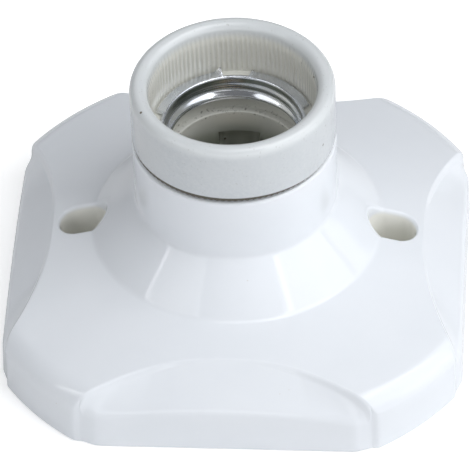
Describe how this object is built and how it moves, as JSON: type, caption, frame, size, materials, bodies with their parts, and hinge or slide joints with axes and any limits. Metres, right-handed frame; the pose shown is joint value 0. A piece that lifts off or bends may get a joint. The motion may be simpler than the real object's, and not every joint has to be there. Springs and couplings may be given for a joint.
{
  "type": "batten lamp holder",
  "caption": "Surface-mounted lamp holder: porcelain screw socket in a flared neck on a square white cover with scooped sides, rounded corners and mounting slots",
  "frame": {"origin": "middle of the back face, which lies against the ceiling or wall", "axes": "+Z points out of the socket's mouth, X runs through the two mounting slots, and Y across them"},
  "size_m": [0.09, 0.09, 0.0545],
  "materials": {
    "white_plastic": "glossy moulded white with a faint blue tint",
    "porcelain": "opaque glazed porcelain, greyish white with fine specks",
    "plated_steel": "bright zinc or nickel plate on sheet steel",
    "terminal_brass": "plain machined brass",
    "spring_bronze": "plain springy bronze sheet"
  },
  "bodies": {
    "holder": {"base_cover": "white_plastic", "porcelain_body": "porcelain", "screw_shell": "plated_steel", "shell_terminal": "terminal_brass", "shell_fixing_screw": "plated_steel", "centre_terminal": "terminal_brass", "centre_fixing_screw": "plated_steel", "body_screw_1": "plated_steel", "body_screw_2": "plated_steel", "body_washer_1": "plated_steel", "body_washer_2": "plated_steel", "body_nut_1": "plated_steel", "body_nut_2": "plated_steel"},
    "contact": {"centre_contact": "spring_bronze"},
    "shell_clamp": {"shell_wire_clamp": "terminal_brass"},
    "shell_screw": {"shell_wire_screw": "terminal_brass"},
    "centre_clamp": {"centre_wire_clamp": "terminal_brass"},
    "centre_screw": {"centre_wire_screw": "terminal_brass"}
  },
  "joints": [
    {"name": "contact_press", "type": "hinge", "parent": "holder", "child": "contact", "pos_m": [0, 0.0082, 0.02505], "axis": [1, 0, 0], "range_deg": [0, 6], "stiffness_Nm_per_rad": 0.2},
    {"name": "shell_clamp_travel", "type": "slide", "parent": "holder", "child": "shell_clamp", "axis": [0, 0, -1], "range_m": [0, 0.0018]},
    {"name": "shell_screw_turn", "type": "hinge", "parent": "shell_clamp", "child": "shell_screw", "pos_m": [-0.0068, -0.0082, 0.0152], "axis": [0, 0, -1], "range_deg": [0, 1080]},
    {"name": "centre_clamp_travel", "type": "slide", "parent": "holder", "child": "centre_clamp", "axis": [0, 0, -1], "range_m": [0, 0.0018]},
    {"name": "centre_screw_turn", "type": "hinge", "parent": "centre_clamp", "child": "centre_screw", "pos_m": [0.0068, 0.0082, 0.0152], "axis": [0, 0, -1], "range_deg": [0, 1080]}
  ]
}
